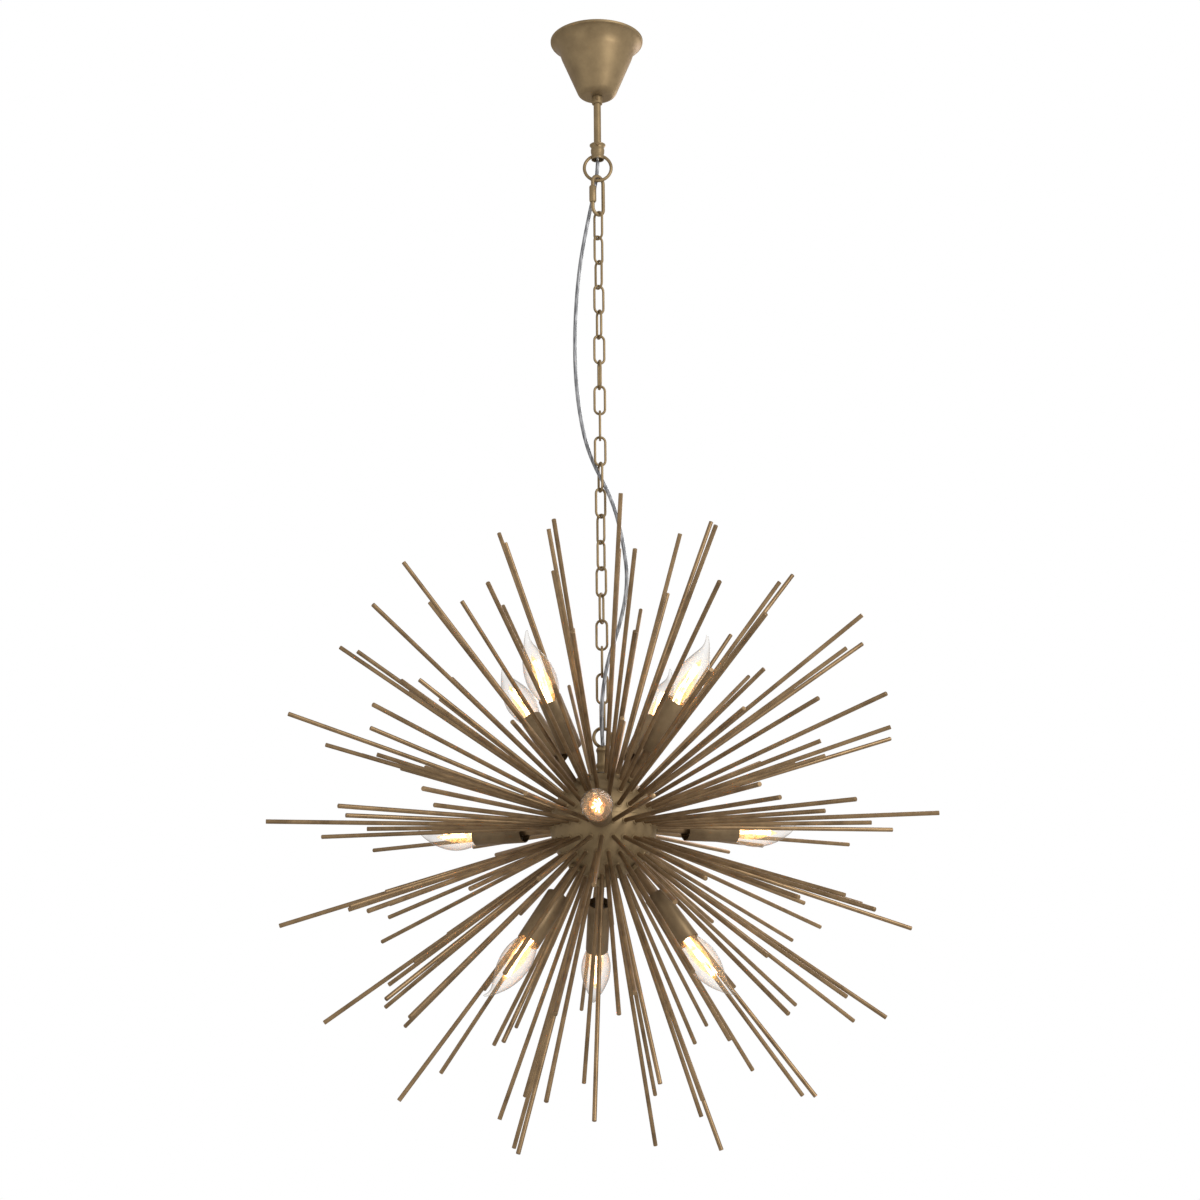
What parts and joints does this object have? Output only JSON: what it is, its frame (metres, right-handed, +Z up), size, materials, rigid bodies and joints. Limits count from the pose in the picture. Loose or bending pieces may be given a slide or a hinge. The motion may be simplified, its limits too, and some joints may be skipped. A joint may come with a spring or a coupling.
{
  "type": "sputnik chandelier",
  "caption": "Hanging starburst chandelier: bell canopy, stem, ring, quick link and chain carry a round hub of straight rods and tube lamps with bent-tip candle bulbs.",
  "frame": {"origin": "on the ceiling plane, midway between the ceiling bracket's slots", "axes": "+Z up to the ceiling, +X to the right along the bracket's slots, front of the lamp towards -Y"},
  "size_m": [0.7454, 0.7406, 1.3396],
  "materials": {
    "antique_brass": "satin antique brass, dark in the hollows",
    "plain_steel": "zinc plated",
    "dark_plastic": "matt moulded",
    "clear_cord": "clear sheath over tinned strands",
    "clear_glass": "clear"
  },
  "bodies": {
    "ceiling_mount": {"ceiling_bracket": "plain_steel", "stem": "antique_brass", "stem_lock_nut": "plain_steel", "stem_cap": "antique_brass", "cap_cross_pin": "plain_steel", "cap_set_screw": "plain_steel"},
    "canopy": {"canopy": "antique_brass", "canopy_collar": "antique_brass", "collar_set_screw": "plain_steel"},
    "ring": {"hanging_ring": "antique_brass"},
    "chain": {"quick_link": "antique_brass", "chain_links": "antique_brass", "power_cord": "clear_cord"},
    "link_nut": {"quick_link_nut": "antique_brass"},
    "hub": {"hub_loop": "antique_brass", "hub_upper_shell": "antique_brass", "hub_lower_shell": "antique_brass", "hub_tube": "plain_steel", "terminal_ring": "dark_plastic", "hub_inner_nut": "plain_steel", "hub_bottom_cap": "antique_brass", "rods_row_1": "antique_brass", "rods_row_2": "antique_brass", "rods_row_3": "antique_brass", "rods_row_4": "antique_brass", "rods_row_5": "antique_brass", "rods_row_6": "antique_brass", "rods_row_7": "antique_brass", "rods_row_8": "antique_brass", "rods_row_9": "antique_brass", "lamp_nipples": "antique_brass", "lamp_nuts": "antique_brass", "lamp_discs": "plain_steel", "lamp_sleeves": "antique_brass", "lampholders": "dark_plastic"},
    "bulb_01": {"bulb_01": "clear_glass"},
    "bulb_02": {"bulb_02": "clear_glass"},
    "bulb_03": {"bulb_03": "clear_glass"},
    "bulb_04": {"bulb_04": "clear_glass"},
    "bulb_05": {"bulb_05": "clear_glass"},
    "bulb_06": {"bulb_06": "clear_glass"},
    "bulb_07": {"bulb_07": "clear_glass"},
    "bulb_08": {"bulb_08": "clear_glass"},
    "bulb_09": {"bulb_09": "clear_glass"},
    "bulb_10": {"bulb_10": "clear_glass"}
  },
  "joints": [
    {"name": "canopy_drop", "type": "slide", "parent": "ceiling_mount", "child": "canopy", "axis": [0, 0, -1], "range_m": [0, 0.045]},
    {"name": "ring_swing", "type": "hinge", "parent": "ceiling_mount", "child": "ring", "pos_m": [0, 0, -0.1572], "axis": [0, 1, 0], "range_deg": [-8, 8]},
    {"name": "chain_swing", "type": "hinge", "parent": "ring", "child": "chain", "pos_m": [0, 0, -0.1864], "axis": [1, 0, 0], "range_deg": [-4, 4]},
    {"name": "link_nut_travel", "type": "slide", "parent": "chain", "child": "link_nut", "axis": [0, 0, -1], "range_m": [0, 0.0058]},
    {"name": "hub_tilt", "type": "hinge", "parent": "chain", "child": "hub", "pos_m": [0, 0, -0.8706], "axis": [-0.342, 0.9397, 0], "range_deg": [-6, 6]},
    {"name": "bulb_01_unscrew", "type": "hinge", "parent": "hub", "child": "bulb_01", "pos_m": [-0.05238, -0.0748, -0.8608], "axis": [-0.3492, -0.4987, 0.7934], "range_deg": [0, 540]},
    {"name": "bulb_02_unscrew", "type": "hinge", "parent": "hub", "child": "bulb_02", "pos_m": [0.0748, -0.05238, -0.8608], "axis": [0.4987, -0.3492, 0.7934], "range_deg": [0, 540]},
    {"name": "bulb_03_unscrew", "type": "hinge", "parent": "hub", "child": "bulb_03", "pos_m": [0.05238, 0.0748, -0.8608], "axis": [0.3492, 0.4987, 0.7934], "range_deg": [0, 540]},
    {"name": "bulb_04_unscrew", "type": "hinge", "parent": "hub", "child": "bulb_04", "pos_m": [-0.0748, 0.05238, -0.8608], "axis": [-0.4987, 0.3492, 0.7934], "range_deg": [0, 540]},
    {"name": "bulb_05_unscrew", "type": "hinge", "parent": "hub", "child": "bulb_05", "pos_m": [-0.00524, -0.14991, -0.9798], "axis": [-0.0349, -0.9994, 0], "range_deg": [0, 540]},
    {"name": "bulb_06_unscrew", "type": "hinge", "parent": "hub", "child": "bulb_06", "pos_m": [0.13733, 0.06033, -0.9798], "axis": [0.9156, 0.4022, 0], "range_deg": [0, 540]},
    {"name": "bulb_07_unscrew", "type": "hinge", "parent": "hub", "child": "bulb_07", "pos_m": [-0.13279, 0.06976, -0.9798], "axis": [-0.8853, 0.4651, 0], "range_deg": [0, 540]},
    {"name": "bulb_08_unscrew", "type": "hinge", "parent": "hub", "child": "bulb_08", "pos_m": [-0.0748, -0.05238, -1.0988], "axis": [-0.4987, -0.3492, -0.7934], "range_deg": [0, 540]},
    {"name": "bulb_09_unscrew", "type": "hinge", "parent": "hub", "child": "bulb_09", "pos_m": [0.08276, -0.03859, -1.0988], "axis": [0.5517, -0.2573, -0.7934], "range_deg": [0, 540]},
    {"name": "bulb_10_unscrew", "type": "hinge", "parent": "hub", "child": "bulb_10", "pos_m": [-0.00796, 0.09097, -1.0988], "axis": [-0.0531, 0.6064, -0.7934], "range_deg": [0, 540]}
  ]
}
